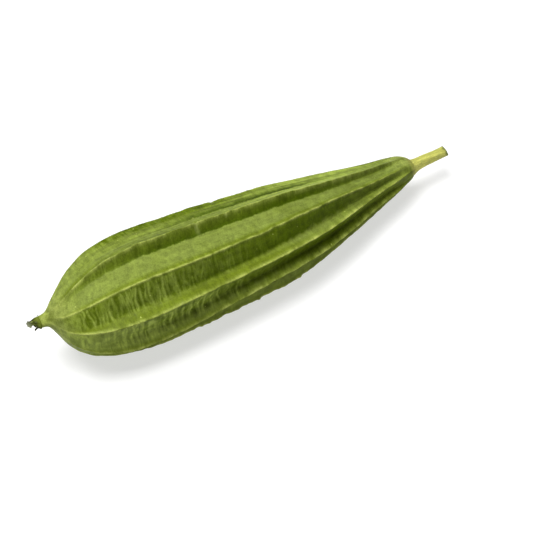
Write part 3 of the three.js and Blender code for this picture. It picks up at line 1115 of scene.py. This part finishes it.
def petal_tube(row, number, shape):
    """One shrivelled petal: a thin crumpled strip that leans, curls and twists."""
    angle, start, length, lean, tip_lean, wide, twist, green, bleached = row
    t = np.linspace(0, 1, PETAL_STEPS)
    slope = np.radians(lean + (tip_lean - lean) * t)
    advance = length / (PETAL_STEPS - 1)
    along = start + np.concatenate([[0], np.cumsum(np.cos(slope[1:]) * advance)])
    out = PETAL_SEAT + np.concatenate([[0], np.cumsum(np.sin(slope[1:]) * advance)])
    out = np.maximum(out + 0.35 * value_noise(t * 5, number * 3.3, 0.5, 73), 0.15)
    turn = np.radians(angle + twist * t**1.5 + 14 * value_noise(t * 3, number * 1.7, 0.5, 74))
    cosine, sine = np.cos(turn), np.sin(turn)
    centre = np.stack([along, out * cosine, out * sine], -1)
    side = np.stack([np.zeros_like(t), -sine, cosine], -1)
    normal = np.stack([-np.sin(slope), np.cos(slope) * cosine, np.cos(slope) * sine], -1)

    half = petal_half_width(t, wide, bleached, number)[:, None]
    ring = np.linspace(0, 2 * np.pi, PETAL_AROUND, endpoint=False)[None, :]
    across = np.cos(ring)
    crumple = 0.22 * value_noise(t[:, None] * 6, across * 2 + 5, number * 1.9, 76)
    lift = 0.45 * half * across**2 + crumple + PETAL_THICKNESS / 2 * np.sin(ring)
    flat = centre[:, None] + side[:, None] * (half * across)[..., None]
    flat = flat + normal[:, None] * lift[..., None]
    attributes = {
        "place": flat + [0, 0, PETAL_PATTERN_GAP * number],
        "fresh": np.full(lift.shape, green),
        "dry": bleached * np.broadcast_to(smoothstep(t, 0.45, 1)[:, None], lift.shape),
    }
    return flower_place(flat, shape), attributes


def flower_mesh(shape):
    """The withered flower: its cup and its petals, in one piece."""
    petals = [petal_tube(row, number, shape) for number, row in enumerate(PETAL_ROWS)]
    return tube_mesh("dry_flower", [cup_tube(shape), *petals])


# ---- Stage --------------------------------------------------------------------------------------

def floor_sheet(stage):
    """A plain square floor."""
    half = stage.floor_size
    mesh = bpy.data.meshes.new("floor")
    corners = [(-half, -half, 0), (half, -half, 0), (half, half, 0), (-half, half, 0)]
    mesh.from_pydata(corners, [], [(0, 1, 2, 3)])
    mesh.materials.append(plain_paint("floor_paint", stage.floor_colour, stage.floor_glow))
    return bpy.data.objects.new("floor", mesh)


def backdrop(stage):
    """A round wall at the edge of the floor that only the camera sees, so it adds no light."""
    turn = np.linspace(0, 2 * np.pi, BACKDROP_SIDES, endpoint=False)
    ring = np.stack([np.cos(turn), np.sin(turn), 0 * turn], -1) * stage.floor_size
    top = ring + [0, 0, stage.backdrop_height]
    index = np.arange(len(turn))
    beside = np.roll(index, -1)
    faces = np.stack([index, beside, beside + len(turn), index + len(turn)], -1)
    mesh = bpy.data.meshes.new("backdrop")
    mesh.from_pydata(np.vstack([ring, top]).tolist(), [], faces.tolist())
    mesh.materials.append(plain_paint("backdrop_paint", (0, 0, 0), stage.backdrop_glow))
    wall = bpy.data.objects.new("backdrop", mesh)
    wall.visible_diffuse = False
    wall.visible_glossy = False
    wall.visible_transmission = False
    wall.visible_shadow = False
    return wall


def surroundings(stage):
    """Plain white light from all round."""
    world = bpy.data.worlds.new("studio")
    world.use_nodes = True
    background = world.node_tree.nodes["Background"]
    background.inputs["Color"].default_value = (1, 1, 1, 1)
    background.inputs["Strength"].default_value = stage.world_strength
    return world


def facing(thing, aim, back, distance):
    """Places a light or camera at a distance from its aim, on the side that back points to."""
    thing.location = aim + back * distance
    thing.rotation_euler = back.to_track_quat("Z", "Y").to_euler()
    return thing


def key_light(stage):
    """The square soft light above the gourd, a little toward its flower and behind it."""
    lamp = bpy.data.lights.new("key", "AREA")
    lamp.shape = "SQUARE"
    lamp.size = stage.key_size
    lamp.energy = stage.key_power
    back = Vector((KEY_SIDE, math.sin(stage.key_tilt), math.cos(stage.key_tilt))).normalized()
    return facing(bpy.data.objects.new("key", lamp), Vector(KEY_AIM), back, stage.key_distance)


def camera(stage):
    """The camera, on its angles round the gourd and above the floor."""
    azimuth, elevation = stage.camera_azimuth, stage.camera_elevation
    back = Vector((
        math.sin(azimuth) * math.cos(elevation),
        -math.cos(azimuth) * math.cos(elevation),
        math.sin(elevation),
    ))
    data = bpy.data.cameras.new("camera")
    data.lens = stage.lens
    eye = bpy.data.objects.new("camera", data)
    return facing(eye, Vector(stage.camera_aim), back, stage.camera_distance)


# ---- Operators ----------------------------------------------------------------------------------

class RIDGEGOURD_OT_make_stage(bpy.types.Operator):
    """Makes the floor, the wall round it, the light and the camera"""

    bl_idname = "ridge_gourd.make_stage"
    bl_label = "Make stage"

    def execute(self, context):
        scene = context.scene
        stage = scene.ridge_gourd_stage
        scene.view_settings.view_transform = "Standard"
        scene.world = surroundings(stage)
        floor, wall, eye = floor_sheet(stage), backdrop(stage), camera(stage)
        for thing in (floor, wall, key_light(stage), eye):
            scene.collection.objects.link(thing)
        scene.camera = eye
        return {"FINISHED"}


class RIDGEGOURD_OT_make_fruit(bpy.types.Operator):
    """Makes the ribbed fruit"""

    bl_idname = "ridge_gourd.make_fruit"
    bl_label = "Make fruit"

    def execute(self, context):
        scene = context.scene
        mesh = fruit_mesh(scene.ridge_gourd_shape)
        add_piece("fruit_skin", mesh, skin_material(scene.ridge_gourd_skin), "fruit")
        return {"FINISHED"}


class RIDGEGOURD_OT_make_stem(bpy.types.Operator):
    """Makes the ribbed stem with its cut end"""

    bl_idname = "ridge_gourd.make_stem"
    bl_label = "Make stem"

    def execute(self, context):
        scene = context.scene
        mesh = stem_mesh(scene.ridge_gourd_shape)
        add_piece("gourd_stem", mesh, stem_material(scene.ridge_gourd_skin), "stem")
        return {"FINISHED"}


class RIDGEGOURD_OT_make_flower(bpy.types.Operator):
    """Makes the withered flower on the blossom end"""

    bl_idname = "ridge_gourd.make_flower"
    bl_label = "Make withered flower"

    def execute(self, context):
        scene = context.scene
        mesh = flower_mesh(scene.ridge_gourd_shape)
        add_piece("dry_flower", mesh, flower_material(scene.ridge_gourd_skin), "flower_remnant")
        return {"FINISHED"}


class RIDGEGOURD_PT_panel(bpy.types.Panel):
    """Settings of the gourd and a button for each of its pieces"""

    bl_idname = "RIDGEGOURD_PT_panel"
    bl_label = "Ridge gourd"
    bl_space_type = "VIEW_3D"
    bl_region_type = "UI"
    bl_category = "Ridge gourd"

    def draw(self, context):
        layout = self.layout
        for name in ("ridge_gourd_stage", "ridge_gourd_shape", "ridge_gourd_skin"):
            group = getattr(context.scene, name)
            box = layout.box()
            for key in group.__annotations__:
                box.prop(group, key)
        for maker in ("make_stage", "make_fruit", "make_stem", "make_flower"):
            layout.operator("ridge_gourd." + maker)


CLASSES = (
    RidgeGourdShape,
    RidgeGourdSkin,
    RidgeGourdStage,
    RIDGEGOURD_OT_make_stage,
    RIDGEGOURD_OT_make_fruit,
    RIDGEGOURD_OT_make_stem,
    RIDGEGOURD_OT_make_flower,
    RIDGEGOURD_PT_panel,
)


def register():
    for cls in CLASSES:
        bpy.utils.register_class(cls)
    bpy.types.Scene.ridge_gourd_shape = PointerProperty(type=RidgeGourdShape)
    bpy.types.Scene.ridge_gourd_skin = PointerProperty(type=RidgeGourdSkin)
    bpy.types.Scene.ridge_gourd_stage = PointerProperty(type=RidgeGourdStage)


def unregister():
    del bpy.types.Scene.ridge_gourd_stage
    del bpy.types.Scene.ridge_gourd_skin
    del bpy.types.Scene.ridge_gourd_shape
    for cls in reversed(CLASSES):
        bpy.utils.unregister_class(cls)


def main():
    register()
    bpy.ops.ridge_gourd.make_stage()
    bpy.ops.ridge_gourd.make_fruit()
    bpy.ops.ridge_gourd.make_stem()
    bpy.ops.ridge_gourd.make_flower()


if __name__ == "__main__":
    main()
